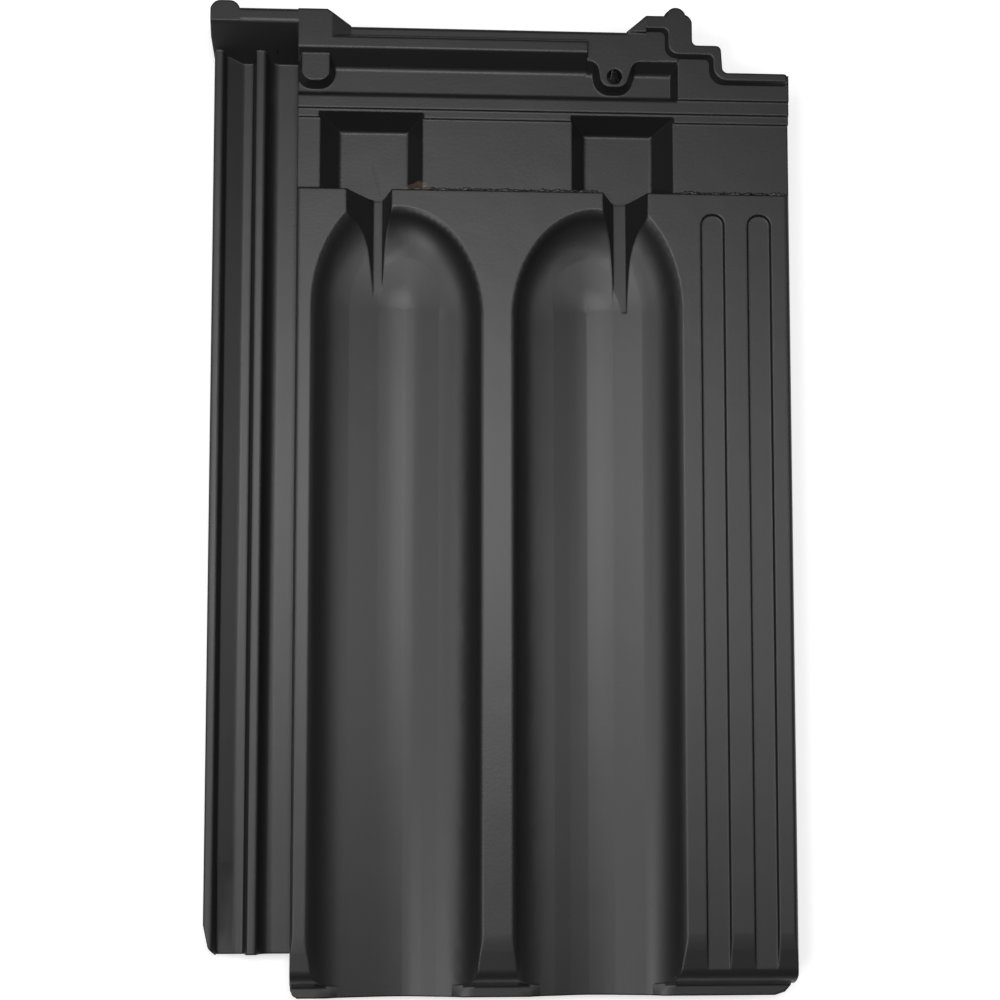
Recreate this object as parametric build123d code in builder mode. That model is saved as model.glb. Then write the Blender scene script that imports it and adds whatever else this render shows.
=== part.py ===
"""Interlocking clay roof tile with two troughs, pressed and fired as one piece.

Millimetres. X runs across the tile, Y to its head, Z up out of the weather face.
The side lock is at -X, the cover flank at +X, and the nibs stand on Z = 0.
"""

import os
from math import asin, cos, degrees

from build123d import *

# Plan of the whole tile
tile_length = 465
tile_width = 276
lock_width = 41.4
lock_foot_gap = 19.5
cover_gap = 1.4

# Heights above and below the weather face
trough_depth = 13
trough_wall = 11
nib_drop = 5.5
slab_thickness = 12
rim_rise = 4.5
plateau_rise = 2
deck_rise = 1.5
head_rib_rise = 0.5
ledge_drop = 0.6
band_drop = 1.5
channel_drop = 4
pocket_drop = 12.5
pocket_wall = 8
lock_rib_drop = 9
lock_bank_drop = 12
lock_floor_drop = 15.5
flank_thickness = 8.5
flank_rib_drop = 14

# Head zone, from the back of the rim towards the foot
rim_set_back = 10.5
rim_back_width = 5
rim_top_width = 6.3
rim_wall_run = 7.5
channel_width = 13.9
head_rib_run = 1.2
head_rib_width = 6.7
ledge_width = 4.2
band_width = 34.4

# Nail plateau and raised deck on the right, from the right edge and the head
plateau_edge_gap = 97
plateau_front_gap = 25
plateau_wall_run = 5
deck_edge_gap = 53.5
deck_wall_run = 3

# Foot
lip_width = 5
lip_thickness = 5
foot_roll = 9
foot_crown_length = 20
foot_crown_drop = 2.5
foot_crown_round = 60
foot_rib_width = 15
foot_corner_round = 10
face_corner_round = 4

# Side lock, from its outer edge to the face
lock_inset = 1.5
outer_rib_width = 5.5
outer_rib_run = 1.9
bank_width = 7.8
banked_floor_width = 4.6
inner_rib_run = 1.5
inner_rib_width = 4.5
inner_rib_back_run = 2.8
rib_shoulder_round = 2
flat_floor_round = 6
banked_floor_round = 4
web_width = 10.6
bank_fade_length = 42
lock_corner_width = 5.5
lock_corner_length = 14
lock_corner_shares = (0.44, 0.22)

# Corner block and horn that close the lock at the head
block_back_gap = 3.2
block_top_width = 6.7
block_slope_run = 15
block_taper_gap = 5.6
horn_width = 16
horn_slope_run = 9
horn_corner_run = 13.8
knob_width = 14
knob_round = 5

# Stepped corner on the right that clears the next tile's block
right_horn_gap = 78.1
right_horn_run = 9.2
horn_edge_gap = 47
horn_corner_round = 7
first_step_gap = 17.3
first_step_edge_gap = 33.2
second_step_gap = 30.5
step_lean = 0.8
corner_rim_width = 5.5
inner_corner_edge_gap = 59
inner_corner_gap = 11
corner_rim_draft = 22
corner_rim_round = 5
right_knob_gap = 55.5
right_knob_width = 10.5

# Bosses in the head channel
boss_draft = 25
boss_tip_round = 5
boss_flare_round = 5
left_boss_gap = 8.4
left_boss_width = 13
left_boss_tip_gap = 37
nail_edge_gap = 84
nail_gap = 32.5
nail_radius = 3.5
nail_boss_left = 6.2
nail_boss_right = 5
nail_boss_flare = 4
nail_boss_flare_length = 16
nail_boss_tip_gap = 37.5

# Troughs: a round-headed bowl for the shoulder and a deeper scoop beside it
trough_width = 79
face_margin = 8.5
trough_land = 14.6
trough_head_gap = 97.7
trough_turn_gap = 46.8
bowl_depth = 10.5
bowl_lift = 2
bowl_flat = 15
bowl_head_length = 52
bowl_rim_drop = 2
scoop_width = 42.8
scoop_head_length = 56
scoop_curve_width = 12.4
scoop_curve_rise = 1
scoop_slope_width = 14
scoop_rim_drop = 2.5
rim_round_width = 4
rim_round_lift = 0.15
inner_width_share = 0.7
inner_head_length = 41

# Pockets above the troughs and the notches that drain them
pocket_floor_start = 11.4
pocket_floor_width = 32.6
pocket_top_start = 0.5
pocket_top_width = 51.5
pocket_head_gap = 50.5
pocket_floor_gap = 58
pocket_round = 1.5
notch_start = 14.5
notch_outer_runs = (13.3, 9.6)
notch_floor_widths = (4.2, 5.8)
notch_inner_runs = (4.2, 6.3)
notch_overlap = 3
notch_mouth_length = 3.4
notch_floor_rise = 1.1

# Grooves on the cover flank
groove_width = 12
groove_depth = 1.6
groove_draft = 25
groove_head_gap = 98
groove_edge_gaps = (37.2, 14.9)

# Underside
bulge_flat = 13
bulge_slope = 30
bulge_slope_rise = 4
bulge_half_width = 46.5
bulge_bite = 3
seat_margin = 6
seat_flare = 8
seat_foot_length = 26
seat_start_gap = 92.5
nib_width = 34
nib_front_gap = 27.5
nib_bottom_width = 12
nib_back_run = 4
mid_rib_width = 5.8
flank_clearance = 1
mid_rib_clearance = 0.5
flank_head_gap = 5

# Rounding and overrun
soft_round = 1.5
fine_round = 0.4
lock_round = 1
floor_round = 3
web_round = 4
left_edge_round = 1.5
right_edge_round = 2.5
cut_over = 20
cut_lift = 0.4

# Levels and places
face_level = trough_depth + trough_wall + nib_drop
rim_level = face_level + rim_rise
plateau_level = face_level + plateau_rise
deck_level = face_level + deck_rise
head_rib_level = face_level + head_rib_rise
ledge_level = face_level - ledge_drop
band_level = face_level - band_drop
channel_level = face_level - channel_drop
pocket_level = face_level - pocket_drop
seat_level = pocket_level - pocket_wall
slab_base = face_level - slab_thickness
trough_level = face_level - trough_depth
trough_base = trough_level - trough_wall
lip_base = trough_level - lip_thickness
lock_rib_level = face_level - lock_rib_drop
lock_bank_level = face_level - lock_bank_drop
lock_floor_level = face_level - lock_floor_drop
flank_base = face_level - flank_thickness
flank_rib_base = face_level - flank_rib_drop
over_level = rim_level + cut_over

left_x = -tile_width / 2
right_x = tile_width / 2
head_y = tile_length / 2
foot_y = -tile_length / 2
face_left_x = left_x + lock_width
cover_width = right_x - face_left_x + cover_gap
rim_back_y = head_y - rim_set_back
rim_step_y = rim_back_y - rim_back_width
rim_front_y = rim_step_y - rim_top_width
channel_head_y = rim_front_y - rim_wall_run
head_rib_y = channel_head_y - channel_width
ledge_head_y = head_rib_y - head_rib_width
band_head_y = ledge_head_y - ledge_width
face_head_y = band_head_y - band_width
foot_wall_y = foot_y + lip_width
foot_rib_back_y = foot_y + foot_rib_width
lock_foot_y = foot_y + lock_foot_gap
plateau_x = right_x - plateau_edge_gap
plateau_front_y = head_y - plateau_front_gap
deck_x = right_x - deck_edge_gap


def outline(corners):
    """Closed outline through corners, each given as two places and its rounding."""
    places = [(corner[0], corner[1]) for corner in corners]
    FilletPolyline(*places, radius=[corner[2] for corner in corners], close=True)


def across(corners, start_x, end_x):
    """Solid with a lengthwise section, running across the tile."""
    with BuildPart() as run:
        with BuildSketch(Plane.YZ.offset(start_x)):
            with BuildLine():
                outline(corners)
            make_face()
        extrude(amount=end_x - start_x)
    return run.part


def along(corners, head_end_y, foot_end_y):
    """Solid with a cross section, running from its head end to its foot end."""
    with BuildPart() as run:
        with BuildSketch(Plane.XZ.offset(-head_end_y)):
            with BuildLine():
                outline(corners)
            make_face()
        extrude(amount=head_end_y - foot_end_y)
    return run.part


def upright(corners, top_z, low_z, draft=0):
    """Solid with a plan outline at its top, widening downwards by the draft."""
    with BuildPart() as run:
        with BuildSketch(Plane.XY.offset(top_z)):
            with BuildLine():
                outline(corners)
            make_face()
        extrude(amount=low_z - top_z, taper=-draft)
    return run.part


def tapered(low_box, low_z, high_box, high_z):
    """Solid between two level rectangles, each given as start x, end x, start y, end y."""
    with BuildPart() as run:
        for box, level in ((low_box, low_z), (high_box, high_z)):
            with BuildSketch(Plane.XY.offset(level)):
                with Locations(((box[0] + box[1]) / 2, (box[2] + box[3]) / 2)):
                    Rectangle(box[1] - box[0], box[3] - box[2])
        loft(ruled=True)
    return run.part


# Lengthwise sections: rim on the left, nail plateau, raised deck on the right
foot_run = [
    (foot_rib_back_y, slab_base, web_round),
    (foot_rib_back_y, lip_base, soft_round),
    (foot_y, lip_base, soft_round),
    (foot_y, trough_level, soft_round),
    (foot_wall_y, trough_level, fine_round),
    (foot_wall_y, face_level - foot_crown_drop, foot_roll),
    (foot_wall_y + foot_crown_length, face_level, foot_crown_round),
    (face_head_y, face_level, fine_round),
    (face_head_y, band_level, fine_round),
    (band_head_y, band_level, fine_round),
    (band_head_y, ledge_level, fine_round),
    (ledge_head_y, ledge_level, fine_round),
    (ledge_head_y, head_rib_level, fine_round),
]
channel_run = [
    (head_rib_y, head_rib_level, soft_round),
    (head_rib_y + head_rib_run, channel_level, soft_round),
]
rim_run = [
    (channel_head_y, channel_level, floor_round),
    (rim_front_y, rim_level, soft_round),
    (rim_step_y, rim_level, soft_round),
    (rim_step_y, plateau_level, fine_round),
    (rim_back_y, plateau_level, soft_round),
    (rim_back_y, slab_base, soft_round),
]
plateau_run = [
    (plateau_front_y - plateau_wall_run, channel_level, floor_round),
    (plateau_front_y, plateau_level, soft_round),
    (rim_back_y, plateau_level, soft_round),
    (rim_back_y, slab_base, soft_round),
]
deck_run = [
    (head_rib_y, head_rib_level, fine_round),
    (head_rib_y, deck_level, fine_round),
    (rim_back_y, deck_level, 0),
    (rim_back_y, slab_base, soft_round),
]
rim_stretch = across(foot_run + channel_run + rim_run, face_left_x, plateau_x)
plateau_stretch = across(foot_run + channel_run + plateau_run, plateau_x, deck_x)
deck_stretch = across(foot_run + deck_run, deck_x, right_x)
deck_wall_corners = [
    (deck_x - deck_wall_run, channel_level, 0),
    (deck_x, deck_level, 0),
    (deck_x, slab_base, 0),
    (deck_x - deck_wall_run, slab_base, 0),
]
deck_wall = along(deck_wall_corners, plateau_front_y, head_rib_y)

# Side lock: outer rib, banked channel, inner rib, flat channel, and the wall under the face edge
lock_edge_x = left_x + lock_inset
outer_rib_x = left_x + outer_rib_width
bank_x = outer_rib_x + outer_rib_run
banked_floor_x = bank_x + bank_width
inner_foot_x = banked_floor_x + banked_floor_width
inner_rib_x = inner_foot_x + inner_rib_run
inner_rib_end_x = inner_rib_x + inner_rib_width
flat_floor_x = inner_rib_end_x + inner_rib_back_run
web_x = face_left_x + web_width
lock_corners = [
    (lock_edge_x, trough_base, soft_round),
    (lock_edge_x, lock_rib_level, lock_round),
    (outer_rib_x, lock_rib_level, rib_shoulder_round),
    (bank_x, lock_bank_level, lock_round),
    (banked_floor_x, lock_floor_level, banked_floor_round),
    (inner_foot_x, lock_floor_level, lock_round),
    (inner_rib_x, lock_rib_level, lock_round),
    (inner_rib_end_x, lock_rib_level, rib_shoulder_round),
    (flat_floor_x, lock_floor_level, flat_floor_round),
    (face_left_x, lock_floor_level, 0),
    (face_left_x, slab_base + bulge_bite, 0),
    (web_x, slab_base + bulge_bite, 0),
    (web_x, trough_base, web_round),
]
lock = along(lock_corners, rim_back_y, lock_foot_y)
lock_trim_corners = [
    (left_x - cut_over, lock_foot_y + lock_corner_length, 0),
    (lock_edge_x, lock_foot_y + lock_corner_length, 0),
    (
        lock_edge_x + lock_corner_width * lock_corner_shares[0],
        lock_foot_y + lock_corner_length * lock_corner_shares[1],
        floor_round,
    ),
    (lock_edge_x + lock_corner_width, lock_foot_y, 0),
    (lock_edge_x + lock_corner_width, lock_foot_y - cut_over, 0),
    (left_x - cut_over, lock_foot_y - cut_over, 0),
]
lock_trim = upright(lock_trim_corners, over_level, -cut_over)

# The bank of the outer channel sinks to the floor towards the foot
with BuildPart() as bank_fade:
    bank_ends = ((lock_foot_y + bank_fade_length, lock_bank_level), (lock_foot_y, lock_floor_level))
    for end_y, wall_level in bank_ends:
        with BuildSketch(Plane.XZ.offset(-end_y)):
            with BuildLine():
                Polyline(
                    (bank_x, wall_level),
                    (banked_floor_x, lock_floor_level),
                    (banked_floor_x, lock_bank_level + cut_lift),
                    (bank_x, lock_bank_level + cut_lift),
                    close=True,
                )
            make_face()
    loft(ruled=True)

# Corner block that closes the lock, with its horn and knob
block_back_y = head_y - block_back_gap
block_front_y = block_back_y - block_top_width
horn_x = face_left_x + horn_width
block_corners = [
    (block_back_y, trough_base, soft_round),
    (block_back_y, rim_level, soft_round),
    (block_front_y, rim_level, floor_round),
    (block_front_y - block_slope_run, lock_floor_level, floor_round),
    (block_front_y - block_slope_run, trough_base, 0),
]
block = across(block_corners, left_x, face_left_x)
block_taper_corners = [
    (left_x - cut_over, block_front_y - block_taper_gap, 0),
    (left_x, block_front_y - block_taper_gap, 0),
    (lock_edge_x, block_front_y - block_slope_run, 0),
    (lock_edge_x, channel_head_y, 0),
    (left_x - cut_over, channel_head_y, 0),
]
block_taper = upright(block_taper_corners, over_level, -cut_over)
left_knob_corners = [
    (left_x, block_front_y, 0),
    (left_x, head_y, knob_round),
    (left_x + knob_width, head_y, knob_round),
    (left_x + knob_width, block_front_y, 0),
]
left_knob = upright(left_knob_corners, rim_level, lock_floor_level)


def horn(corners, high_x, low_x):
    """Plan outline raised to the rim, its top falling to the plateau from high_x to low_x."""
    fall_run = low_x - high_x
    facing = ((rim_level - plateau_level) * fall_run / abs(fall_run), 0, abs(fall_run))
    with BuildPart() as run:
        with BuildSketch(Plane.XY.offset(slab_base)):
            with BuildLine():
                outline(corners)
            make_face()
        extrude(amount=rim_level - slab_base)
        split(bisect_by=Plane((high_x, 0, rim_level), x_dir=(0, 1, 0), z_dir=facing), keep=Keep.BOTTOM)
    return run.part


left_horn_corners = [
    (face_left_x, rim_step_y - soft_round, 0),
    (face_left_x, block_back_y, 0),
    (face_left_x + horn_corner_run, block_back_y, soft_round),
    (horn_x + horn_slope_run, rim_back_y, 0),
    (horn_x + horn_slope_run, rim_step_y - soft_round, 0),
]
left_horn = horn(left_horn_corners, horn_x, horn_x + horn_slope_run)

# Stepped corner on the right
right_horn_x = right_x - right_horn_gap
right_horn_top_x = right_horn_x + right_horn_run
horn_right_x = right_x - horn_edge_gap
first_step_x = right_x - first_step_edge_gap
second_step_x = first_step_x + step_lean
first_step_y = head_y - first_step_gap
second_step_y = head_y - second_step_gap
inner_corner_x = right_x - inner_corner_edge_gap
inner_corner_y = head_y - inner_corner_gap
right_knob_x = right_x - right_knob_gap
corner_cut_corners = [
    (horn_right_x, head_y + cut_over, 0),
    (horn_right_x, first_step_y, soft_round),
    (first_step_x, first_step_y, soft_round),
    (second_step_x, second_step_y, soft_round),
    (right_x + cut_over, second_step_y, 0),
    (right_x + cut_over, head_y + cut_over, 0),
]
corner_cut = upright(corner_cut_corners, over_level, -cut_over)
horn_base_corners = [
    (right_horn_x, rim_front_y, 0),
    (right_horn_x, rim_back_y, 0),
    (right_horn_top_x, block_back_y, soft_round),
    (horn_right_x, block_back_y, horn_corner_round),
    (horn_right_x, rim_front_y, 0),
]
horn_base = upright(horn_base_corners, plateau_level, slab_base)
right_horn_corners = [
    (right_horn_x, rim_back_y, 0),
    (right_horn_top_x, block_back_y, 0),
    (right_horn_top_x, inner_corner_y, 0),
]
right_horn = horn(right_horn_corners, right_horn_top_x, right_horn_x)
corner_rim_corners = [
    (right_horn_top_x, block_back_y, 0),
    (horn_right_x, block_back_y, horn_corner_round),
    (horn_right_x, first_step_y, soft_round),
    (first_step_x, first_step_y, soft_round),
    (second_step_x, second_step_y, soft_round),
    (right_x, second_step_y, soft_round),
    (right_x, second_step_y - corner_rim_width, 0),
    (second_step_x - soft_round, second_step_y - corner_rim_width, corner_rim_round),
    (first_step_x - corner_rim_width, first_step_y - corner_rim_width, soft_round),
    (inner_corner_x, first_step_y - corner_rim_width, corner_rim_round),
    (inner_corner_x, inner_corner_y, soft_round),
    (right_horn_top_x, inner_corner_y, 0),
]
with BuildPart() as corner_rim:
    with BuildSketch(Plane.XY.offset(channel_level)):
        with BuildLine():
            outline(corner_rim_corners)
        make_face()
    extrude(amount=deck_level - channel_level)
    with BuildSketch(Plane.XY.offset(deck_level)):
        with BuildLine():
            outline(corner_rim_corners)
        make_face()
    extrude(amount=rim_level - deck_level, taper=corner_rim_draft)
right_knob_corners = [
    (right_knob_x - right_knob_width / 2, inner_corner_y + corner_rim_width, 0),
    (right_knob_x - right_knob_width / 2, head_y, knob_round),
    (right_knob_x + right_knob_width / 2, head_y, knob_round),
    (right_knob_x + right_knob_width / 2, inner_corner_y + corner_rim_width, 0),
]
right_knob = upright(right_knob_corners, rim_level, slab_base)

# Bosses in the head channel: blind on the left, with the nail hole on the right
left_boss_x = face_left_x + left_boss_gap
left_boss_tip_y = head_y - left_boss_tip_gap
nail_x = right_x - nail_edge_gap
nail_y = head_y - nail_gap
nail_boss_tip_y = head_y - nail_boss_tip_gap
left_boss_corners = [
    (left_boss_x - left_boss_width / 2, rim_front_y, 0),
    (left_boss_x - left_boss_width / 2, left_boss_tip_y, boss_tip_round),
    (left_boss_x + left_boss_width / 2, left_boss_tip_y, boss_tip_round),
    (left_boss_x + left_boss_width / 2, rim_front_y, 0),
]
left_boss = split(
    upright(left_boss_corners, plateau_level, channel_level - soft_round, boss_draft),
    bisect_by=Plane.YZ.offset(face_left_x),
    keep=Keep.TOP,
)
nail_boss_corners = [
    (plateau_x, rim_front_y, 0),
    (plateau_x, plateau_front_y, 0),
    (nail_x - nail_boss_left - nail_boss_flare / 2, plateau_front_y, boss_flare_round),
    (nail_x - nail_boss_left, nail_boss_tip_y, boss_tip_round),
    (nail_x + nail_boss_right, nail_boss_tip_y, boss_tip_round),
    (nail_x + nail_boss_right + nail_boss_flare, plateau_front_y, boss_flare_round),
    (nail_x + nail_boss_right + nail_boss_flare_length, plateau_front_y, 0),
    (nail_x + nail_boss_right + nail_boss_flare_length, rim_front_y, 0),
]
nail_boss = upright(nail_boss_corners, plateau_level, channel_level - soft_round, boss_draft)

# Troughs: the bowl, whose round head is stretched towards the pocket
trough_x = face_left_x + face_margin
trough_end_x = trough_x + trough_width
pair_plane = Plane.YZ.offset(trough_end_x + trough_land / 2)
trough_head_y = head_y - trough_head_gap
trough_turn_y = trough_head_y - trough_turn_gap
trough_end_y = foot_y - cut_over
rim_top_level = face_level + rim_round_lift
bowl_x = trough_x + trough_width / 2
bowl_rim_x = trough_end_x - rim_round_width / 2
bowl_head_y = trough_head_y - bowl_head_length
bowl_reach = bowl_depth + bowl_lift
bowl_turn = asin((bowl_lift + bowl_rim_drop) / bowl_reach)
bowl_curve_x = bowl_x + bowl_flat
bowl_radius = (bowl_rim_x - bowl_curve_x) / cos(bowl_turn)
bowl_arc = 90 - degrees(bowl_turn)
scoop_x = trough_x + scoop_width
part_x = scoop_x - scoop_curve_width
part_plane = Plane.YZ.offset(part_x)


def bowl_half():
    """Half of the bowl's section, from its middle to its rounded rim."""
    rim_end = (trough_end_x + rim_round_width / 2, rim_top_level)
    wall = EllipticalCenterArc(
        (bowl_curve_x, face_level + bowl_lift), bowl_radius, bowl_reach, start_angle=270, arc_size=bowl_arc
    )
    TangentArc(wall @ 1, rim_end, tangent=wall % 1)
    bowl_base = (bowl_x, face_level - bowl_depth)
    Polyline(rim_end, (rim_end[0], over_level), (bowl_x, over_level), bowl_base, wall @ 0)


with BuildPart() as bowl_straight:
    with BuildSketch(Plane.XZ.offset(-bowl_head_y)):
        with BuildLine():
            bowl_half()
        make_face()
    extrude(amount=bowl_head_y - trough_end_y)

with BuildPart() as bowl_head:
    with BuildSketch(Plane.XZ.offset(-bowl_head_y)):
        with BuildLine():
            bowl_half()
        make_face()
    revolve(axis=Axis((bowl_x, bowl_head_y, 0), (0, 0, 1)), revolution_arc=180)
    scale(by=(1, bowl_head_length / (trough_end_x - bowl_x), 1), about=(bowl_x, bowl_head_y, 0))
    split(bisect_by=part_plane, keep=Keep.TOP)

# Troughs: the scoop, a spoon with a long side up to the outer rim and a short side up to the shoulder
lowest = (scoop_x, trough_level)
curve_end = (part_x, trough_level + scoop_curve_rise)
scoop_plane = Plane.YZ.offset(scoop_x)


def scoop_half():
    """Long side of the scoop's section, from its lowest line to its rounded rim."""
    rim_start = (trough_x + rim_round_width / 2, face_level - scoop_rim_drop)
    rim_end = (trough_x - rim_round_width / 2, rim_top_level)
    curve = TangentArc(lowest, curve_end, tangent=(-1, 0))
    slope = PolarLine(curve_end, scoop_slope_width, direction=curve % 1)
    wall = TangentArc(slope @ 1, rim_start, tangent=slope % 1)
    TangentArc(rim_start, rim_end, tangent=wall % 1)
    Polyline(rim_end, (rim_end[0], over_level), (scoop_x, over_level), lowest)


def scoop_head(head_length, width_share=1):
    """Quarter of the spoon's head on its long side, with a length and a share of the width."""
    with BuildPart() as run:
        with BuildSketch(Plane.XZ.offset(-trough_turn_y)):
            with BuildLine():
                scoop_half()
            make_face()
        revolve(axis=Axis((scoop_x, trough_turn_y, 0), (0, 0, -1)), revolution_arc=90)
        shares = (width_share, head_length / scoop_width, 1)
        scale(by=shares, about=(scoop_x, trough_turn_y, 0))
    return run.part


with BuildPart() as long_side:
    with BuildSketch(Plane.XZ.offset(-trough_turn_y)):
        with BuildLine():
            scoop_half()
        make_face()
    extrude(amount=trough_turn_y - trough_end_y)

with BuildPart() as short_side:
    add(mirror(long_side.part, about=scoop_plane))
    scale(by=(inner_width_share, 1, 1), about=(scoop_x, trough_turn_y, 0))

outer_head = split(scoop_head(scoop_head_length), bisect_by=part_plane, keep=Keep.BOTTOM)
middle_head = split(scoop_head(inner_head_length), bisect_by=part_plane, keep=Keep.TOP)
inner_head = mirror(scoop_head(inner_head_length, inner_width_share), about=scoop_plane)
scoop_cuts = [long_side.part, short_side.part, outer_head, middle_head, inner_head]

# Pockets and notches
pocket_head_y = head_y - pocket_head_gap
pocket_floor_y = head_y - pocket_floor_gap
pocket_floor_x = trough_x + pocket_floor_start
pocket_floor_end_x = pocket_floor_x + pocket_floor_width
pocket_top_x = trough_x + pocket_top_start
pocket_floor = (pocket_floor_x, pocket_floor_end_x, face_head_y, pocket_floor_y)
pocket_top = (pocket_top_x, pocket_top_x + pocket_top_width, face_head_y, pocket_head_y)
pocket_block = tapered(pocket_floor, pocket_level, pocket_top, head_rib_level)
pocket = fillet(pocket_block.edges().group_by(Axis.Z)[0], radius=pocket_round)
notch_x = trough_x + notch_start
notch_rise_share = cut_over / pocket_drop
notch_length = face_head_y + notch_overlap - trough_turn_y


def notch(side):
    """Channel from the pocket floor, with a splayed mouth, that runs out into the trough."""
    floor_x = notch_x + notch_outer_runs[side]
    floor_end_x = floor_x + notch_floor_widths[side]
    end_x = floor_end_x + notch_inner_runs[side]
    with BuildPart() as run:
        with BuildSketch(Plane.XZ.offset(-face_head_y - notch_overlap)):
            with BuildLine():
                Polyline(
                    (floor_x, pocket_level),
                    (notch_x - notch_outer_runs[side] * notch_rise_share, face_level + cut_over),
                    (end_x + notch_inner_runs[side] * notch_rise_share, face_level + cut_over),
                    (floor_end_x, pocket_level),
                    close=True,
                )
            make_face()
        extrude(amount=notch_length, dir=(0, -1, notch_floor_rise / notch_length))
        with BuildSketch(Plane.XY.offset(pocket_level)):
            with BuildLine():
                Polyline(
                    (notch_x, face_head_y + notch_overlap),
                    (notch_x, face_head_y),
                    (floor_x, face_head_y - notch_mouth_length),
                    (floor_end_x, face_head_y - notch_mouth_length),
                    (end_x, face_head_y),
                    (end_x, face_head_y + notch_overlap),
                    close=True,
                )
            make_face()
        extrude(amount=pocket_drop + cut_over)
    return run.part


left_notch = notch(0)
right_notch = mirror(notch(1), about=pair_plane)

# Grooves on the cover flank, running out through the rolled foot
groove_head_y = head_y - groove_head_gap


def groove(edge_gap):
    """Shallow groove with a round head and drafted sides."""
    groove_x = right_x - edge_gap
    half = groove_width / 2
    corners = [
        (groove_x - half, groove_head_y, half - fine_round),
        (groove_x + half, groove_head_y, half - fine_round),
        (groove_x + half, foot_y, 0),
        (groove_x - half, foot_y, 0),
    ]
    return upright(corners, face_level + cut_lift, face_level - groove_depth, -groove_draft)


grooves = [groove(edge_gap) for edge_gap in groove_edge_gaps]

# Underside: bulges below the troughs and pockets, and the seat for the batten
bulge_corners = [
    (bowl_x, trough_base, 0),
    (bowl_x + bulge_flat, trough_base, bulge_half_width),
    (bowl_x + bulge_slope, trough_base + bulge_slope_rise, bulge_flat),
    (bowl_x + bulge_half_width, slab_base + bulge_bite, 0),
    (bowl_x, slab_base + bulge_bite, 0),
]
with BuildPart() as bulge:
    add(along(bulge_corners, trough_turn_y, foot_y))
    mirror(about=Plane.YZ.offset(bowl_x))
    with BuildSketch(Plane.XZ.offset(-trough_turn_y)):
        with BuildLine():
            outline(bulge_corners)
        make_face()
    revolve(axis=Axis((bowl_x, trough_turn_y, 0), (0, 0, 1)), revolution_arc=180)

seat_x = pocket_floor_x - seat_margin
seat_end_x = pocket_floor_end_x + seat_margin
seat_foot_y = face_head_y - seat_foot_length
seat_low = (seat_x, seat_end_x, seat_foot_y, pocket_head_y)
seat_high = (seat_x - seat_flare, seat_end_x + seat_flare, seat_foot_y, pocket_head_y + seat_flare)
seat = tapered(seat_low, seat_level, seat_high, slab_base + bulge_bite)
nib_front_y = head_y - nib_front_gap
seat_start_y = head_y - seat_start_gap
seat_cut_corners = [
    (seat_start_y, seat_level, web_round),
    (nib_front_y, seat_level, 0),
    (nib_front_y, trough_base - cut_over, 0),
    (seat_start_y - cut_over, trough_base - cut_over, 0),
]
seat_cut = across(seat_cut_corners, left_x - cut_over, web_x + cut_over)

# Nibs that hang the tile on its batten
nib_x = (pocket_floor_x + pocket_floor_end_x) / 2
nib_corners = [
    (nib_front_y, slab_base + bulge_bite, 0),
    (nib_front_y, 0, soft_round),
    (nib_front_y + nib_bottom_width, 0, floor_round),
    (nib_front_y + nib_bottom_width + nib_back_run, slab_base + bulge_bite, 0),
]
nib = across(nib_corners, nib_x - nib_width / 2, nib_x + nib_width / 2)

# Cover flank: thin, with two ribs that drop into the next tile's lock
flank_x = left_x + cover_width - flank_clearance
mid_rib_end_x = inner_foot_x + cover_width - mid_rib_clearance
mid_rib_x = mid_rib_end_x - mid_rib_width
edge_rib_x = flat_floor_x + cover_width + flank_clearance
flank_head_y = second_step_y - flank_head_gap


def flank_rib(start_x, end_x):
    """Rib under the cover flank."""
    corners = [
        (start_x, slab_base + bulge_bite, 0),
        (start_x, flank_rib_base, soft_round),
        (end_x, flank_rib_base, soft_round),
        (end_x, slab_base + bulge_bite, 0),
    ]
    return along(corners, flank_head_y, foot_rib_back_y)


def flank_channel(start_x, end_x):
    """Channel under the cover flank for one rib of the next tile's lock."""
    corners = [
        (start_x, flank_base, soft_round),
        (end_x, flank_base, soft_round),
        (end_x, trough_base - cut_over, 0),
        (start_x, trough_base - cut_over, 0),
    ]
    return along(corners, head_y, lock_foot_y)


flank_ribs = [flank_rib(mid_rib_x, mid_rib_end_x), flank_rib(edge_rib_x, right_x)]
flank_channels = [flank_channel(flank_x, mid_rib_x), flank_channel(mid_rib_end_x, edge_rib_x)]


def corner_trim(corner_x, turn, radius):
    """What lies outside a rounded upright corner at the foot."""
    side = (corner_x, foot_y + radius)
    front = (corner_x - turn * radius, foot_y)
    out_x = corner_x + turn * cut_over
    out_y = foot_y - cut_over
    with BuildPart() as run:
        with BuildSketch(Plane.XY.offset(-cut_over)):
            with BuildLine():
                RadiusArc(side, front, turn * radius)
                Polyline(front, (front[0], out_y), (out_x, out_y), (out_x, side[1]), side)
            make_face()
        extrude(amount=over_level + cut_over)
    return run.part


def edge_trim(edge_x, turn, radius):
    """What lies outside the rounded long edge of the face."""
    top = (edge_x - turn * radius, face_level)
    side = (edge_x, face_level - radius)
    out_x = edge_x + turn * cut_over
    with BuildPart() as run:
        with BuildSketch(Plane.XZ.offset(-band_head_y)):
            with BuildLine():
                RadiusArc(top, side, turn * radius)
                Polyline(side, (out_x, side[1]), (out_x, over_level), (top[0], over_level), top)
            make_face()
        extrude(amount=band_head_y - trough_end_y)
    return run.part


trims = [
    corner_trim(right_x, 1, foot_corner_round),
    corner_trim(face_left_x, -1, face_corner_round),
    edge_trim(right_x, 1, right_edge_round),
    edge_trim(face_left_x, -1, left_edge_round),
]

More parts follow.
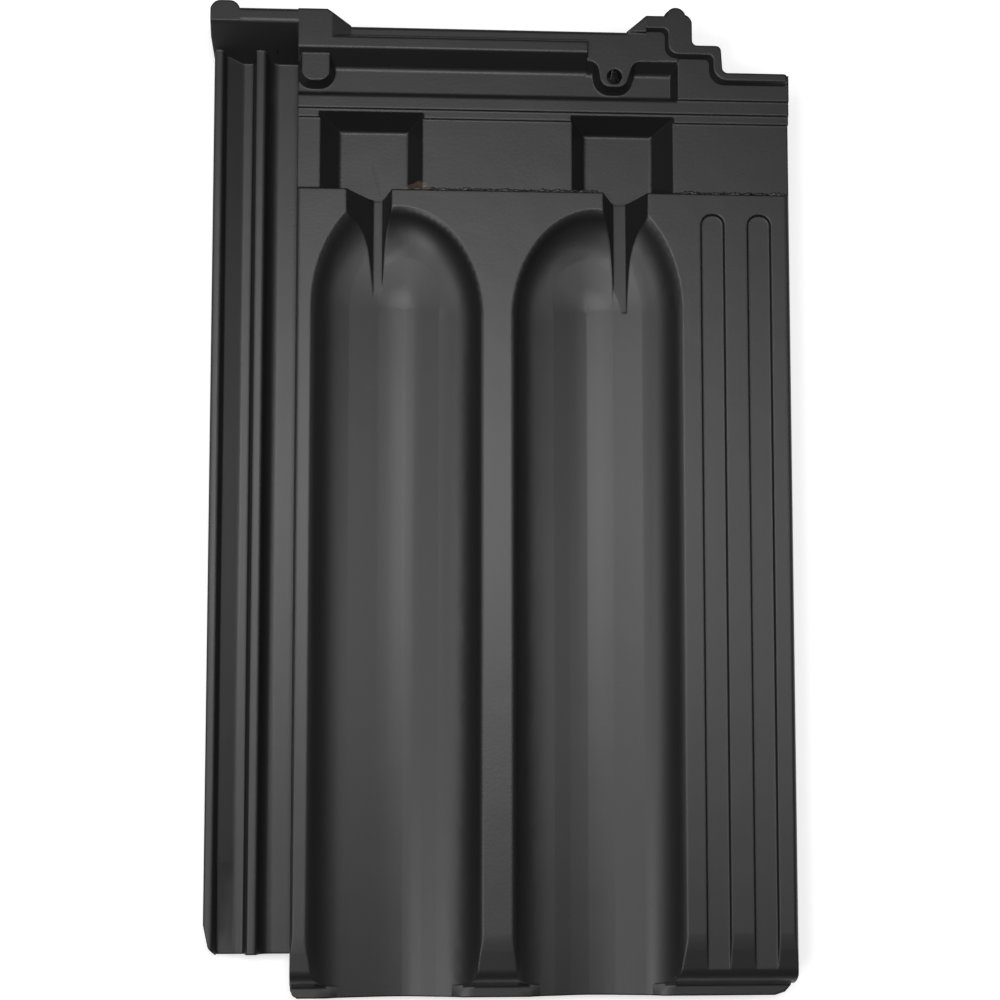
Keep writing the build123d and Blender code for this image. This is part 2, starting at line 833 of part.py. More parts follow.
with BuildPart() as tile:
    for body in (rim_stretch, plateau_stretch, deck_stretch, deck_wall, lock, block, left_horn, left_knob):
        add(body)
    for body in (bulge.part, seat, nib):
        add(body)
        add(mirror(body, about=pair_plane))
    for body in (*flank_ribs, horn_base):
        add(body)
    for body in (corner_cut, bank_fade.part, lock_trim, block_taper, seat_cut, *flank_channels, *trims):
        add(body, mode=Mode.SUBTRACT)
    for body in (corner_rim.part, right_horn, right_knob, left_boss, nail_boss):
        add(body)
    for body in (bowl_straight.part, bowl_head.part, *scoop_cuts, pocket):
        add(body, mode=Mode.SUBTRACT)
        add(mirror(body, about=pair_plane), mode=Mode.SUBTRACT)
    for body in (left_notch, right_notch, *grooves):
        add(body, mode=Mode.SUBTRACT)
    with Locations((nail_x, nail_y, plateau_level)):
        Cylinder(nail_radius, over_level + cut_over, mode=Mode.SUBTRACT)
tile.part.label = "tile"
os.makedirs("parts", exist_ok=True)
export_step(tile.part, "parts/tile.step")
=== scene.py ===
from math import radians

import bpy
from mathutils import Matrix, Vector
from mathutils.geometry import intersect_point_line


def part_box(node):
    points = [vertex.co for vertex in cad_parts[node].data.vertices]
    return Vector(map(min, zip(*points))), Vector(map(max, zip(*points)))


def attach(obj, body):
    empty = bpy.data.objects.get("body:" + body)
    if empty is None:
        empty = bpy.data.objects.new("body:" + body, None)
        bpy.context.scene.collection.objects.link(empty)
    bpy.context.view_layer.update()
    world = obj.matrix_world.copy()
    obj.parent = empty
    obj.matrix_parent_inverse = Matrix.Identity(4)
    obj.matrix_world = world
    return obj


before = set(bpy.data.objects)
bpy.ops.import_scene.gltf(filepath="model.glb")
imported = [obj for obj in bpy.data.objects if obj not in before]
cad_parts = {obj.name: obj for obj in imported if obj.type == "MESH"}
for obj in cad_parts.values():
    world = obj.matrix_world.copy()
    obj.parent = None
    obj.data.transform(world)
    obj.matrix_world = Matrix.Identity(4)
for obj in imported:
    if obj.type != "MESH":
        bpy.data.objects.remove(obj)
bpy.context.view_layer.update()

bl_info = {
    "name": "Clay roof tile",
    "version": (1, 0, 0),
    "blender": (4, 5, 0),
    "location": "3D View > Sidebar > Roof tile",
    "description": "Coats the pressed roof tile, adds its rim, lip and burrs and sets it on a pale floor",
    "category": "Object",
}

MM = 0.001
TILE_LOW, TILE_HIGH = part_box("tile")
# Sides of the tile in millimetres, from which the tables below count
RIGHT = TILE_HIGH[0] / MM
HEAD = TILE_HIGH[1] / MM
FOOT = TILE_LOW[1] / MM

# A vertex within this distance of a place counts as lying there
NEAR = 0.01 * MM
# Steps in the rounding of a plan corner
ROUND_STEPS = 6
# Edges flatter than this angle in degrees are smoothed, on most pieces and on the lip
SMOOTH_ANGLE = 40
CRISP_ANGLE = 25


class TileFinish(bpy.types.PropertyGroup):
    """Colours and surface of the fired tile."""

    engobe: bpy.props.StringProperty(
        name="Engobe",
        description="Colour of the fired engobe, as an sRGB hex value",
        default="#1D1D1D",
    )
    engobe_pale: bpy.props.StringProperty(
        name="Pale engobe",
        description="Colour where the engobe is thin, as an sRGB hex value",
        default="#242424",
    )
    clay: bpy.props.StringProperty(
        name="Bare clay",
        description="Colour of the fired clay in a chip, as an sRGB hex value",
        default="#5A4D45",
    )
    # This colour is also the painted shade along the press seam, standing in for the seam's shadow gap
    crack_and_seam_shade: bpy.props.StringProperty(
        name="Crack",
        description="Colour in a crack or scratch, as an sRGB hex value",
        default="#101010",
    )
    roughness: bpy.props.FloatProperty(
        name="Roughness",
        description="Roughness of the satin engobe",
        default=0.38,
        min=0,
        max=1,
        subtype="FACTOR",
    )
    patch: bpy.props.FloatProperty(
        name="Patch",
        description="Size of a patch of thinner engobe",
        default=60 * MM,
        unit="LENGTH",
    )
    grain: bpy.props.FloatProperty(
        name="Grain",
        description="Size of the engobe's grain",
        default=1.3 * MM,
        unit="LENGTH",
    )
    swell: bpy.props.FloatProperty(
        name="Swell",
        description="Size of the soft swells that the press leaves",
        default=22 * MM,
        unit="LENGTH",
    )
    edge: bpy.props.FloatProperty(
        name="Edge",
        description="Radius over which the engobe softens an edge",
        default=1.2 * MM,
        unit="LENGTH",
    )


class TileRim(bpy.types.PropertyGroup):
    """Raised rim round the stepped corner."""

    rise: bpy.props.FloatProperty(
        name="Rim rise",
        description="Height of the rim above the deck",
        default=3.0 * MM,
        unit="LENGTH",
    )
    sunk: bpy.props.FloatProperty(
        name="Sunk depth",
        description="How far the rim reaches into the tile",
        default=0.5 * MM,
        unit="LENGTH",
    )
    width: bpy.props.FloatProperty(
        name="Rim width",
        description="Width of the rim at its base",
        default=5.5 * MM,
        unit="LENGTH",
    )
    wall_run: bpy.props.FloatProperty(
        name="Wall run",
        description="How far the rim's inner wall leans back",
        default=2.0 * MM,
        unit="LENGTH",
    )


class TileBurrs(bpy.types.PropertyGroup):
    """Clay left by the press."""

    seam_width: bpy.props.FloatProperty(
        name="Seam width",
        description="Width of the burr on the press seam",
        default=1.1 * MM,
        unit="LENGTH",
    )
    seam_height: bpy.props.FloatProperty(
        name="Seam height",
        description="Height of the highest lumps of the burr",
        default=0.8 * MM,
        unit="LENGTH",
    )
    lump: bpy.props.FloatProperty(
        name="Lump",
        description="Usual length of a lump of the burr",
        default=1.6 * MM,
        unit="LENGTH",
    )
    smear_width: bpy.props.FloatProperty(
        name="Smear width",
        description="Width of the clay smear across the nail hole",
        default=0.8 * MM,
        unit="LENGTH",
    )


class TileStage(bpy.types.PropertyGroup):
    """Floor, camera and light."""

    floor: bpy.props.StringProperty(
        name="Floor",
        description="Colour of the floor, as an sRGB hex value",
        default="#F4F4F4",
    )
    floor_size: bpy.props.FloatProperty(
        name="Floor size",
        description="Length of each side of the floor",
        default=80.0,
        unit="LENGTH",
    )
    floor_glow: bpy.props.FloatProperty(
        name="Floor glow",
        description="Part of the floor's white that only the camera sees",
        default=0.5,
        min=0,
        max=1,
    )
    air: bpy.props.FloatProperty(
        name="Air",
        description="Strength of the even light from all round",
        default=0.02,
        min=0,
    )
    camera_place: bpy.props.FloatVectorProperty(
        name="Camera place",
        description="Where the camera stands",
        default=(-0.06964, -0.10882, 1.04687),
        subtype="TRANSLATION",
        unit="LENGTH",
    )
    camera_turn: bpy.props.FloatVectorProperty(
        name="Camera turn",
        description="How the camera is turned from looking straight down",
        default=(0.1029, -0.0677, 0.0002),
        subtype="EULER",
        unit="ROTATION",
    )
    lens: bpy.props.FloatProperty(
        name="Lens",
        description="Focal length on a 36 mm frame",
        default=79.0,
        unit="CAMERA",
    )


def linear(hex_colour):
    """Linear colour with alpha from an sRGB hex value."""
    channels = [int(hex_colour[i:i + 2], 16) / 255 for i in (1, 3, 5)]
    return [c / 12.92 if c <= 0.04045 else ((c + 0.055) / 1.055) ** 2.4 for c in channels] + [1.0]


def node(tree, kind, inputs=None, **settings):
    """Adds a node, with its settings and its inputs as values or as sockets to link."""
    new = tree.nodes.new(kind)
    for name, value in settings.items():
        setattr(new, name, value)
    for name, value in (inputs or {}).items():
        if isinstance(value, bpy.types.NodeSocket):
            tree.links.new(value, new.inputs[name])
        else:
            new.inputs[name].default_value = value
    return new


def maths(tree, operation, first, second):
    """Result of a maths node on two values or sockets."""
    return node(tree, "ShaderNodeMath", {0: first, 1: second}, operation=operation).outputs["Value"]


def ramp(tree, value, start, end):
    """Result of a node that takes a value from 0 at its start to 1 at its end."""
    limits = {"Value": value, "From Min": start, "From Max": end, "To Min": 0.0, "To Max": 1.0}
    return node(tree, "ShaderNodeMapRange", limits).outputs["Result"]


def new_material(name):
    """Empty node material, its tree and its output."""
    material = bpy.data.materials.new(name)
    material.use_nodes = True
    material.node_tree.nodes.clear()
    return material, material.node_tree, node(material.node_tree, "ShaderNodeOutputMaterial")


# Marks of the photographed tile, among the cracks the painted shade along the press seam: centre and half
# sizes in millimetres, turn in plan in degrees
CHIPS = (
    ((-40.3, 145.4, 23.0), (7.0, 1.3, 16.0), 0.0),
    ((-40.8, 147.0, 22.0), (5.2, 2.0, 16.0), 0.0),
    ((56.4, 198.4, 30.5), (1.6, 1.4, 2.0), 0.0),
)
CRACKS_AND_SEAM_SHADE = (
    ((-59.3, 151.2, 17.0), (0.9, 8.6, 2.0), 15.3),
    ((72.6, 151.5, 17.0), (0.8, 1.8, 2.0), 10.0),
    # The next two are painted shade: the dark shadow gap along the press seam, painted as a thin dark band
    ((2.0, 144.6, 28.6), (46.0, 0.45, 1.2), 0.0),
    ((111.0, 144.6, 28.6), (27.0, 0.45, 1.2), 0.0),
    ((-106.3, 213.4, 18.5), (0.6, 2.4, 3.0), -20.0),
)
# Distance plus grain at which a mark has faded out, and at which it is full
MARK_OUT = 1.6
MARK_FULL = 1.3


def mark(tree, place, ragged, centre, reach, turn):
    """Mask of a ragged mark, 1 inside, from its centre, its half sizes and its turn in plan."""
    inside = node(
        tree,
        "ShaderNodeMapping",
        {
            "Vector": place,
            "Location": [c * MM for c in centre],
            "Rotation": (0, 0, radians(turn)),
            "Scale": [r * MM for r in reach],
        },
        vector_type="TEXTURE",
    )
    away = node(tree, "ShaderNodeVectorMath", {0: inside.outputs["Vector"]}, operation="LENGTH")
    worn = maths(tree, "ADD", away.outputs["Value"], ragged)
    return ramp(tree, worn, MARK_OUT, MARK_FULL)


def engobe_material(finish):
    """Sprayed engobe, fired on to pressed clay: a dark satin skin with a fine grain and soft patches."""
    material, tree, output = new_material("sprayed_engobe_on_pressed_clay")
    place = node(tree, "ShaderNodeTexCoord").outputs["Object"]
    patches = node(tree, "ShaderNodeTexNoise", {"Vector": place, "Scale": 1 / finish.patch, "Detail": 4.0})
    grain = node(tree, "ShaderNodeTexNoise", {"Vector": place, "Scale": 1 / finish.grain, "Detail": 3.0})
    swell = node(tree, "ShaderNodeTexNoise", {"Vector": place, "Scale": 1 / finish.swell, "Detail": 1.0})
    ragged = grain.outputs["Fac"]
    tint = node(
        tree,
        "ShaderNodeMix",
        {
            "Factor": patches.outputs["Fac"],
            "A": linear(finish.engobe),
            "B": linear(finish.engobe_pale),
        },
        data_type="RGBA",
    )
    # Chips show bare clay. The dark colour marks real cracks and also paints shade along the press seam
    for colour, marks in ((finish.clay, CHIPS), (finish.crack_and_seam_shade, CRACKS_AND_SEAM_SHADE)):
        for centre, reach, turn in marks:
            tint = node(
                tree,
                "ShaderNodeMix",
                {
                    "Factor": mark(tree, place, ragged, centre, reach, turn),
                    "A": tint.outputs["Result"],
                    "B": linear(colour),
                },
                data_type="RGBA",
            )
    soft_edge = node(tree, "ShaderNodeBevel", {"Radius": finish.edge}, samples=8)
    waves = node(
        tree,
        "ShaderNodeBump",
        {
            "Height": swell.outputs["Fac"],
            "Strength": 0.5,
            "Distance": 0.25 * MM,
            "Normal": soft_edge.outputs["Normal"],
        },
    )
    bump = node(
        tree,
        "ShaderNodeBump",
        {"Height": ragged, "Strength": 0.3, "Distance": 0.1 * MM, "Normal": waves.outputs["Normal"]},
    )
    skin = node(
        tree,
        "ShaderNodeBsdfPrincipled",
        {
            "Base Color": tint.outputs["Result"],
            "Roughness": finish.roughness,
            "IOR": 1.5,
            "Normal": bump.outputs["Normal"],
        },
    )
    tree.links.new(skin.outputs["BSDF"], output.inputs["Surface"])
    return material


# Shares of the tile's half width and half length at which the paper is white, and the share of those
# two within which it stays dark
SHADE_WIDTH_SHARE = 0.65
SHADE_LENGTH_SHARE = 0.94
SHADE_DARK_SHARE = 0.97


def paper_material(stage):
    """Matt white paper: a plain floor that the camera sees as white and that keeps the tile's shadow."""
    material, tree, output = new_material("matt_white_paper")
    sheet = node(tree, "ShaderNodeBsdfDiffuse", {"Color": linear(stage.floor)})
    ray = node(tree, "ShaderNodeLightPath").outputs
    mirrored = maths(tree, "MAXIMUM", ray["Is Glossy Ray"], ray["Is Transmission Ray"])
    seen = maths(tree, "MAXIMUM", ray["Is Camera Ray"], mirrored)
    share = maths(tree, "MULTIPLY", seen, stage.floor_glow)
    # Under the tile the paper stays dark, so that the nail hole is black
    place = node(tree, "ShaderNodeTexCoord").outputs["Object"]
    half_sizes = (SHADE_WIDTH_SHARE * TILE_HIGH[0], SHADE_LENGTH_SHARE * TILE_HIGH[1], 1.0)
    under = node(tree, "ShaderNodeMapping", {"Vector": place, "Scale": half_sizes}, vector_type="TEXTURE")
    away = node(tree, "ShaderNodeVectorMath", {0: under.outputs["Vector"]}, operation="ABSOLUTE")
    sides = node(tree, "ShaderNodeSeparateXYZ", {"Vector": away.outputs["Vector"]}).outputs
    outside = ramp(tree, maths(tree, "MAXIMUM", sides["X"], sides["Y"]), SHADE_DARK_SHARE, 1.0)
    strength = maths(tree, "MULTIPLY", share, outside)
    glow = node(tree, "ShaderNodeEmission", {"Color": (1, 1, 1, 1), "Strength": strength})
    both = node(tree, "ShaderNodeAddShader", {0: sheet.outputs["BSDF"], 1: glow.outputs["Emission"]})
    tree.links.new(both.outputs["Shader"], output.inputs["Surface"])
    return material


def coat(piece, smooth_angle=SMOOTH_ANGLE):
    """Gives a piece the tile's engobe, smooths its flatter edges and fixes it to the tile."""
    bpy.ops.object.mode_set(mode="OBJECT")
    piece.data.materials.clear()
    piece.data.materials.append(bpy.data.materials["sprayed_engobe_on_pressed_clay"])
    bpy.ops.object.shade_smooth_by_angle(angle=radians(smooth_angle))
    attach(piece, "root")


def push(x, y, z):
    """Extrudes what is selected by a move."""
    bpy.ops.mesh.extrude_region_move(TRANSFORM_OT_translate={"value": (x, y, z)})


def face_outward():
    """Turns all faces of the piece in edit mode outward."""
    bpy.ops.mesh.select_all(action="SELECT")
    bpy.ops.mesh.normals_make_consistent(inside=False)


def start_piece(context, name, places):
    """New piece in edit mode with one flat face through the given places."""
    bpy.ops.object.select_all(action="DESELECT")
    bpy.ops.mesh.primitive_plane_add(size=MM, location=(0, 0, 0))
    piece = context.active_object
    piece.name = name
    bpy.ops.object.mode_set(mode="EDIT")
    bpy.ops.mesh.select_mode(type="VERT")
    bpy.ops.mesh.select_all(action="SELECT")
    bpy.ops.mesh.merge(type="CENTER")
    bpy.ops.transform.translate(value=places[0])
    for here, there in zip(places, places[1:]):
        push(*(there - here))
    pick_vertices(piece, (places[0], places[-1]))
    bpy.ops.mesh.edge_face_add()
    bpy.ops.mesh.select_all(action="SELECT")
    bpy.ops.mesh.edge_face_add()
    return piece


def start_outline(context, name, corners, level):
    """New piece in edit mode with a level face through plan corners with roundings, in millimetres."""
    places = [Vector((x * MM, y * MM, level)) for x, y, _ in corners]
    piece = start_piece(context, name, places)
    bpy.ops.mesh.normals_make_consistent(inside=False)
    for rounding in sorted({corner[2] for corner in corners if corner[2]}):
        pick_vertices(piece, [place for place, corner in zip(places, corners) if corner[2] == rounding])
        bpy.ops.mesh.bevel(offset=rounding * MM, segments=ROUND_STEPS, affect="VERTICES")
    return piece


def pick_vertices(piece, places):
    """Selects the vertices of a piece in edit mode that lie at the given places."""
    bpy.ops.mesh.select_all(action="DESELECT")
    bpy.ops.object.mode_set(mode="OBJECT")
    for vertex in piece.data.vertices:
        vertex.select = any((vertex.co - place).length < NEAR for place in places)
    bpy.ops.object.mode_set(mode="EDIT")


def chain_gap(place, chain):
    """Distance in plan from a place to a chain of corners in millimetres."""
    gaps = []
    for (x, y, _), (next_x, next_y, _) in zip(chain, chain[1:]):
        start = Vector((x, y)) * MM
        end = Vector((next_x, next_y)) * MM
        share = intersect_point_line(place.to_2d(), start, end)[1]
        gaps.append((place.to_2d() - start.lerp(end, min(max(share, 0.0), 1.0))).length)
    return min(gaps)


def pick_inner_edge(piece, level, inner_chain, outer_chain):
    """Selects the vertices of a piece in edit mode above a level that lie nearer to its inner chain."""
    bpy.ops.mesh.select_all(action="DESELECT")
    bpy.ops.object.mode_set(mode="OBJECT")
    for vertex in piece.data.vertices:
        nearer = chain_gap(vertex.co, inner_chain) < chain_gap(vertex.co, outer_chain)
        vertex.select = nearer and vertex.co.z > level
    bpy.ops.object.mode_set(mode="EDIT")


class TILE_OT_body(bpy.types.Operator):
    """Coats the pressed tile with its engobe"""

    bl_idname = "tile.body"
    bl_label = "Coat the tile"

    def execute(self, context):
        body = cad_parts["tile"]
        body.data.materials.clear()
        body.data.materials.append(engobe_material(context.scene.tile_finish))
        return {"FINISHED"}


class TILE_OT_corner_rim(bpy.types.Operator):
    """Raises the rim round the stepped corner at the right of the head"""

    bl_idname = "tile.corner_rim"
    bl_label = "Raise the corner rim"

    # Gaps from the tile's right side in millimetres
    horn_end = 70.9
    horn_slope = 68.9
    knob_left = (59.4, 58.4)
    knob_right = (51.2, 50.2)
    horn_right = 47.0
    horn_inside = 60.3
    step = 33.2
    step_foot = 32.4
    end = 0.7
    # Gaps from the head in millimetres
    horn_end_back = 4.8
    horn_back = 3.2
    knob_back = -1.0
    shoulder_back = (2.4, 3.7)
    horn_front = 11.0
    first_step = 17.3
    second_step = 30.5
    # How much wider the rim is in front of its first step, and its lift above the pressed knob
    step_extra = 0.8
    lift = 0.05
    # Roundings of the plan corners
    knob_round = 3.4
    knob_foot_round = 0.8
    shoulder_round = 3.0
    corner_round = 2.4
    horn_inside_round = 5.0
    step_inside_round = 7.0

    def execute(self, context):
        rim = context.scene.tile_rim
        width = rim.width / MM
        deck = TILE_HIGH[2] - rim.rise
        inside_end = self.end + rim.wall_run / MM
        inside_step = self.step + width
        step_front = self.first_step + width + self.step_extra
        end_front = self.second_step + width
        # From the horn to the right side, as gaps from the right side and the head, with roundings
        outer = (
            (self.horn_end, self.horn_end_back, 0),
            (self.horn_slope, self.horn_back, 0),
            (self.knob_left[0], self.horn_back, self.knob_foot_round),
            (self.knob_left[1], self.knob_back, self.knob_round),
            (self.knob_right[0], self.knob_back, self.knob_round),
            (self.knob_right[1], self.shoulder_back[0], 0),
            (self.horn_right, self.shoulder_back[1], self.shoulder_round),
            (self.horn_right, self.first_step, self.corner_round),
            (self.step, self.first_step, self.corner_round),
            (self.step_foot, self.second_step, self.corner_round),
            (self.end, self.second_step, self.corner_round),
        )
        # Back to the horn along the inner wall
        inner = (
            (inside_end, end_front, 0),
            (inside_step, end_front, self.step_inside_round),
            (inside_step, step_front, self.corner_round),
            (self.horn_inside, step_front, self.horn_inside_round),
            (self.horn_inside, self.horn_front, self.corner_round),
            (self.horn_end, self.horn_front, 0),
        )
        outer_chain = [(RIGHT - side, HEAD - back, rounding) for side, back, rounding in outer]
        inner_chain = [(RIGHT - side, HEAD - back, rounding) for side, back, rounding in inner]
        piece = start_outline(context, "corner_rim", outer_chain + inner_chain, deck - rim.sunk)
        bpy.ops.mesh.select_all(action="SELECT")
        push(0, 0, rim.sunk + rim.rise + self.lift * MM)
        pick_inner_edge(piece, deck + rim.rise, inner_chain, outer_chain)
        bpy.ops.transform.translate(value=(rim.wall_run, rim.wall_run, 0))
        face_outward()
        coat(piece)
        return {"FINISHED"}


class TILE_OT_foot_lip(bpy.types.Operator):
    """Lays the lip along the foot below the rolled ends of the face"""

    bl_idname = "tile.foot_lip"
    bl_label = "Lay the foot lip"

    # Heights in millimetres: the base, the lip's flat and the top of the end that the roll hides
    base = 14.0
    flat = 22.52
    hidden_top = 26.2
    # Ends of the lip across the tile
    left_end = -96.4
    right_end = 135.5
    # Stretches seen from the foot: place across the tile, height inside the roll, height of the lip
    stretches = (
        (
            (left_end, base, base),
            (left_end, hidden_top, flat),
            (-85.2, hidden_top, flat),
            (-80.0, 21.0, flat),
            (-77.7, 20.0, 21.45),
            (-74.9, 19.0, 20.53),
            (-71.2, 17.5, 18.4),
            (-71.2, base, base),
        ),
        (
            (-26.0, base, base),
            (-26.0, 17.5, 18.4),
            (-22.3, 19.0, 20.53),
            (-19.5, 20.0, 21.48),
            (-17.2, 21.0, flat),
            (-12.0, hidden_top, flat),
            (8.4, hidden_top, flat),
            (13.5, 21.0, flat),
            (15.6, 20.1, 21.58),
            (18.6, 19.0, 20.55),
            (22.3, 17.5, 18.4),
            (22.3, base, base),
        ),
        (
            (67.4, base, base),
            (67.4, 17.5, 18.4),
            (71.1, 19.0, 20.53),
            (73.9, 20.0, 21.45),
            (76.2, 21.0, flat),
            (81.5, hidden_top, flat),
            (right_end, hidden_top, flat),
            (right_end, base, base),
        ),
    )
    # Gap from the foot inside the roll, then those of the lip's toe, of its corners and of its edge
    back = 9.0
    gaps = (4.5, 1.5, -0.02)
    # How far the two ends are cut back at those three gaps
    end_cuts = {left_end: (0.0, 0.9, 3.2), right_end: (-0.5, -3.2, -7.9)}
    no_cuts = (0.0, 0.0, 0.0)

    def execute(self, context):
        for number, stretch in enumerate(self.stretches, 1):
            places = [Vector((x, FOOT + self.back, inside)) * MM for x, inside, _ in stretch]
            piece = start_piece(context, f"foot_lip_{number}", places)
            for here, there in zip((self.back, *self.gaps), self.gaps):
                push(0, (there - here) * MM, 0)
            for x, inside, lip in stretch:
                for gap, cut in zip(self.gaps, self.end_cuts.get(x, self.no_cuts)):
                    pick_vertices(piece, [Vector((x, FOOT + gap, inside)) * MM])
                    bpy.ops.transform.translate(value=(cut * MM, 0, (lip - inside) * MM))
            face_outward()
            coat(piece, CRISP_ANGLE)
        return {"FINISHED"}


class TILE_OT_seam(bpy.types.Operator):
    """Lays the ragged burr of the press seam along the head edge of the face"""

    bl_idname = "tile.seam"
    bl_label = "Lay the press seam"

    # Stretches of the seam across the tile, its line and its level in millimetres
    runs = ((-42.5, 46.0), (85.5, 137.0))
    line = 144.2
    level = 29.45
    # Length of one cut of the burr and the number of its rows
    cut = 0.4
    rows = 6
    # Strength of the lumps as a multiple of the burr's height or width, and its depth as one of its height
    lump_multiple = 2.5
    depth_multiple = 2.0

    def execute(self, context):
        burrs = context.scene.tile_burrs
        lumps = bpy.data.textures.new("clay_lumps", type="CLOUDS")
        lumps.noise_scale = burrs.lump
        for number, (start, end) in enumerate(self.runs, 1):
            bpy.ops.object.select_all(action="DESELECT")
            bpy.ops.mesh.primitive_grid_add(
                x_subdivisions=round((end - start) / self.cut),
                y_subdivisions=self.rows,
                size=1.0,
                location=(0, 0, 0),
            )
            piece = context.active_object
            piece.name = f"press_seam_{number}"
            bpy.ops.object.mode_set(mode="EDIT")
            bpy.ops.transform.resize(value=((end - start) * MM, burrs.seam_width, 1.0))
            bpy.ops.transform.translate(value=((start + end) / 2 * MM, self.line * MM, self.level * MM))
            bpy.ops.object.mode_set(mode="OBJECT")
            for direction, height in (("Z", burrs.seam_height), ("Y", burrs.seam_width)):
                lift = piece.modifiers.new("lumps_" + direction, "DISPLACE")
                lift.texture = lumps
                lift.texture_coords = "LOCAL"
                lift.direction = direction
                lift.strength = self.lump_multiple * height
                bpy.ops.object.modifier_apply(modifier=lift.name)
            bpy.ops.object.mode_set(mode="EDIT")
            bpy.ops.mesh.select_all(action="SELECT")
            push(0, 0, -self.depth_multiple * burrs.seam_height)
            face_outward()
            coat(piece)
        return {"FINISHED"}


class TILE_OT_smear(bpy.types.Operator):
    """Leaves the smear of clay that the punch drew across the nail hole"""

    bl_idname = "tile.smear"
    bl_label = "Smear the nail hole"

    # Ends of the smear and the lump at its lower end in millimetres
    ends = ((53.1, 203.9, 31.2), (51.9, 196.3, 29.6))
    lump = (51.4, 198.0, 30.2)
    # Facets round the two and rings of the lump
    sides = 16
    rings = 10
    # Grain in millimetres of the clay that joins the two, and the passes that even it
    voxel = 0.15
    passes = 6

    def execute(self, context):
        width = context.scene.tile_burrs.smear_width
        head, foot = (Vector(end) * MM for end in self.ends)
        bpy.ops.object.select_all(action="DESELECT")
        bpy.ops.mesh.primitive_cylinder_add(
            vertices=self.sides,
            radius=width / 2,
            depth=(head - foot).length,
            location=(head + foot) / 2,
            rotation=(head - foot).to_track_quat("Z", "Y").to_euler(),
        )
        piece = context.active_object
        piece.name = "nail_hole_smear"
        bpy.ops.object.transform_apply(location=True, rotation=True, scale=True)
        bpy.ops.object.mode_set(mode="EDIT")
        bpy.ops.mesh.primitive_uv_sphere_add(
            segments=self.sides,
            ring_count=self.rings,
            radius=width,
            location=Vector(self.lump) * MM,
        )
        bpy.ops.object.mode_set(mode="OBJECT")
        melt = piece.modifiers.new("melt", "REMESH")
        melt.mode = "VOXEL"
        melt.voxel_size = self.voxel * MM
        bpy.ops.object.modifier_apply(modifier=melt.name)
        even = piece.modifiers.new("even", "SMOOTH")
        even.iterations = self.passes
        bpy.ops.object.modifier_apply(modifier=even.name)
        coat(piece)
        return {"FINISHED"}


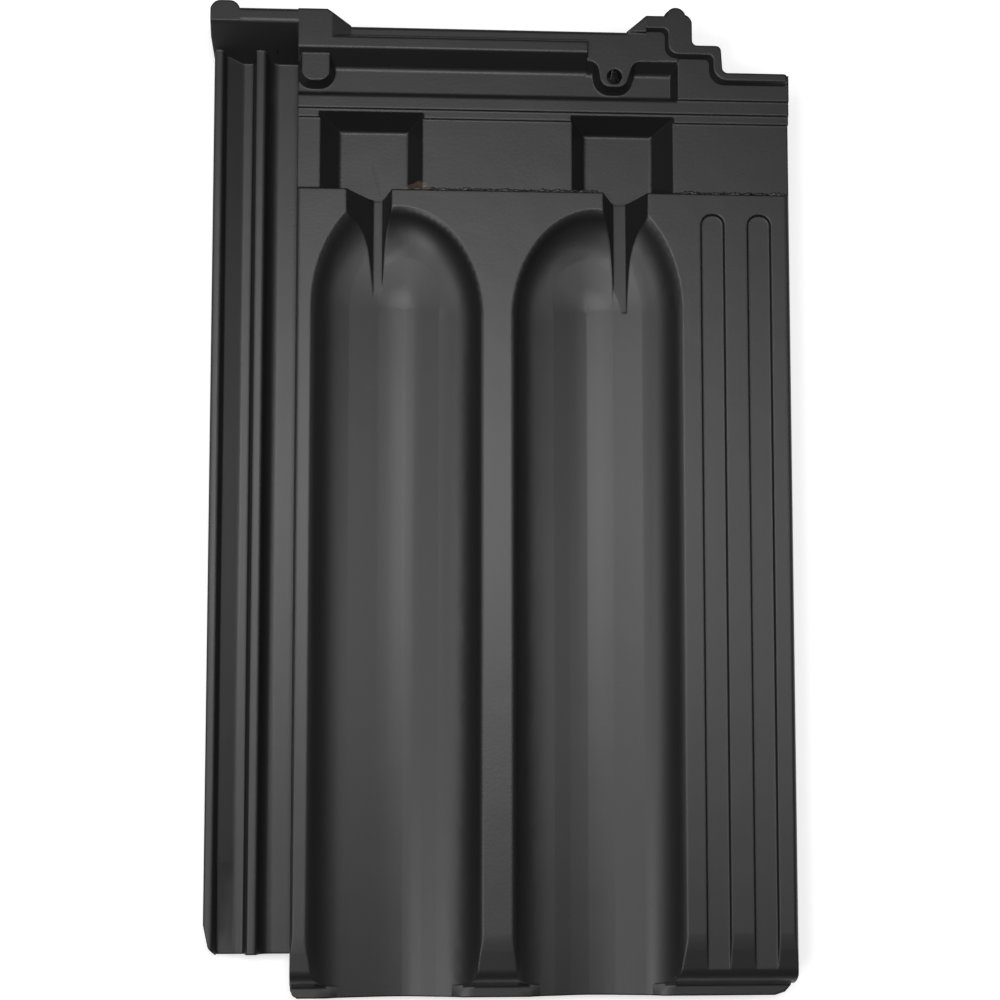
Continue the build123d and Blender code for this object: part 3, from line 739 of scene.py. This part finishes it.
class TILE_OT_stage(bpy.types.Operator):
    """Sets up the floor, the camera and the light"""

    bl_idname = "tile.stage"
    bl_label = "Set the stage"

    # Softboxes: name, place, width, depth and watts
    softboxes = (
        ("softbox_top", (0.0, 0.18, 1.7), 0.4, 0.35, 7.6),
        ("softbox_left", (-0.45, 0.4, 1.7), 0.5, 0.4, 1.4),
        ("softbox_side", (-1.15, 0.1, 1.7), 0.5, 0.5, 5.0),
        ("softbox_right", (0.8, 0.0, 1.7), 0.5, 0.5, 3.2),
        ("softbox_far_right", (1.6, 0.25, 1.7), 0.5, 0.5, 2.8),
        ("softbox_far_left", (-1.6, 0.9, 1.7), 0.6, 0.6, 3.0),
        ("softbox_front", (-0.6, -0.62, 1.7), 0.4, 0.4, 7.0),
    )
    # Camera frame in millimetres, and the nearest and furthest that it sees in metres
    frame_width = 36.0
    nearest = 0.01
    furthest = 200.0

    def execute(self, context):
        scene = context.scene
        stage = scene.tile_stage
        bpy.ops.object.select_all(action="DESELECT")
        bpy.ops.mesh.primitive_plane_add(size=stage.floor_size, location=(0, 0, 0))
        floor = context.active_object
        floor.name = "floor"
        floor.data.materials.append(paper_material(stage))

        for name, place, width, depth, watts in self.softboxes:
            turn = (-Vector(place)).to_track_quat("-Z", "Y").to_euler()
            bpy.ops.object.light_add(type="AREA", location=place, rotation=turn)
            lamp = context.active_object
            lamp.name = name
            lamp.data.shape = "RECTANGLE"
            lamp.data.size = width
            lamp.data.size_y = depth
            lamp.data.energy = watts

        world = bpy.data.worlds.new("studio")
        scene.world = world
        world.use_nodes = True
        world.node_tree.nodes.clear()
        air = node(world.node_tree, "ShaderNodeBackground", {"Color": (1, 1, 1, 1), "Strength": stage.air})
        node(world.node_tree, "ShaderNodeOutputWorld", {"Surface": air.outputs["Background"]})

        bpy.ops.object.camera_add(location=stage.camera_place, rotation=stage.camera_turn)
        camera = context.active_object
        camera.name = "camera"
        camera.data.lens = stage.lens
        camera.data.sensor_width = self.frame_width
        camera.data.clip_start = self.nearest
        camera.data.clip_end = self.furthest
        scene.camera = camera
        scene.view_settings.view_transform = "Standard"
        return {"FINISHED"}


class TILE_PT_sidebar(bpy.types.Panel):
    """Lists the steps and the values of the tile"""

    bl_idname = "TILE_PT_sidebar"
    bl_label = "Roof tile"
    bl_space_type = "VIEW_3D"
    bl_region_type = "UI"
    bl_category = "Roof tile"

    def draw(self, context):
        scene = context.scene
        for group in (scene.tile_finish, scene.tile_rim, scene.tile_burrs, scene.tile_stage):
            for name in group.__annotations__:
                self.layout.prop(group, name)
        for step in STEPS:
            self.layout.operator(step.bl_idname)


STEPS = (
    TILE_OT_body,
    TILE_OT_corner_rim,
    TILE_OT_foot_lip,
    TILE_OT_seam,
    TILE_OT_smear,
    TILE_OT_stage,
)
CLASSES = (TileFinish, TileRim, TileBurrs, TileStage, *STEPS, TILE_PT_sidebar)


def register():
    for cls in CLASSES:
        bpy.utils.register_class(cls)
    bpy.types.Scene.tile_finish = bpy.props.PointerProperty(type=TileFinish)
    bpy.types.Scene.tile_rim = bpy.props.PointerProperty(type=TileRim)
    bpy.types.Scene.tile_burrs = bpy.props.PointerProperty(type=TileBurrs)
    bpy.types.Scene.tile_stage = bpy.props.PointerProperty(type=TileStage)


def unregister():
    del bpy.types.Scene.tile_stage
    del bpy.types.Scene.tile_burrs
    del bpy.types.Scene.tile_rim
    del bpy.types.Scene.tile_finish
    for cls in reversed(CLASSES):
        bpy.utils.unregister_class(cls)


def main():
    register()
    bpy.ops.tile.body()
    bpy.ops.tile.corner_rim()
    bpy.ops.tile.foot_lip()
    bpy.ops.tile.seam()
    bpy.ops.tile.smear()
    bpy.ops.tile.stage()


if __name__ == "__main__":
    main()
